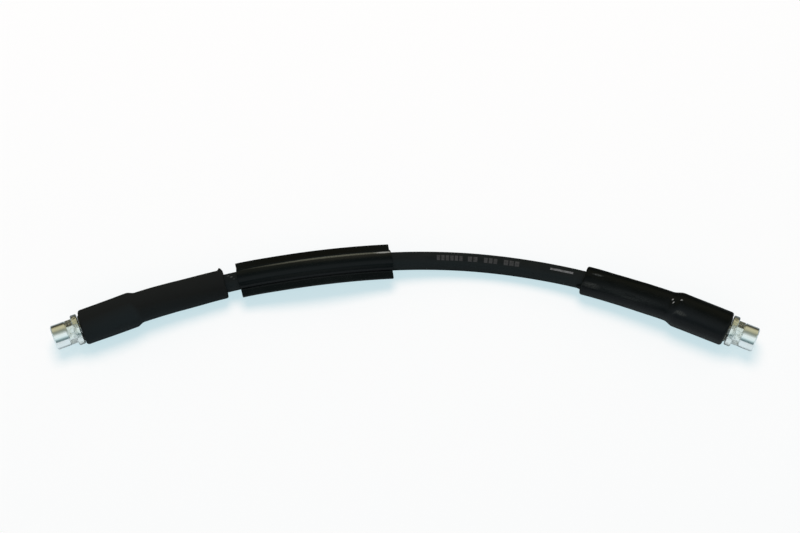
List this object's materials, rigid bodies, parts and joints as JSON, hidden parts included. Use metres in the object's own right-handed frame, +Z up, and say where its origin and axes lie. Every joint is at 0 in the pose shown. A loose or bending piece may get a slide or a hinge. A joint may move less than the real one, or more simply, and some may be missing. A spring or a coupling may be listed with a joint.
{
  "type": "brake hose",
  "caption": "Rubber brake hose lying in a loose bow and a low arch, with a female steel fitting crimped on each end, a kink sleeve over each crimp and a finned chafe sleeve on the hose.",
  "frame": {"origin": "on the surface that the hose lies on, under the middle of the whole hose's box", "axes": "+X from the left fitting to the right one, +Y towards the outside of the bow, +Z up from the surface"},
  "size_m": [0.3986, 0.0656, 0.0206],
  "materials": {
    "hose_rubber": "dull black extruded rubber with a faint lengthways grain",
    "sleeve_rubber": "matte black moulded rubber",
    "finned_rubber": "black extruded rubber with a low sheen",
    "zinc_steel": "turned steel with bright zinc plating",
    "ferrule_steel": "drawn and crimped steel with dull zinc plating"
  },
  "bodies": {
    "root": {"hose": "hose_rubber", "fitting_left": "zinc_steel", "fitting_right": "zinc_steel", "ferrule_left": "ferrule_steel", "ferrule_right": "ferrule_steel", "kink_sleeve_left": "sleeve_rubber", "kink_sleeve_right": "sleeve_rubber", "chafe_sleeve": "finned_rubber"}
  },
  "joints": []
}
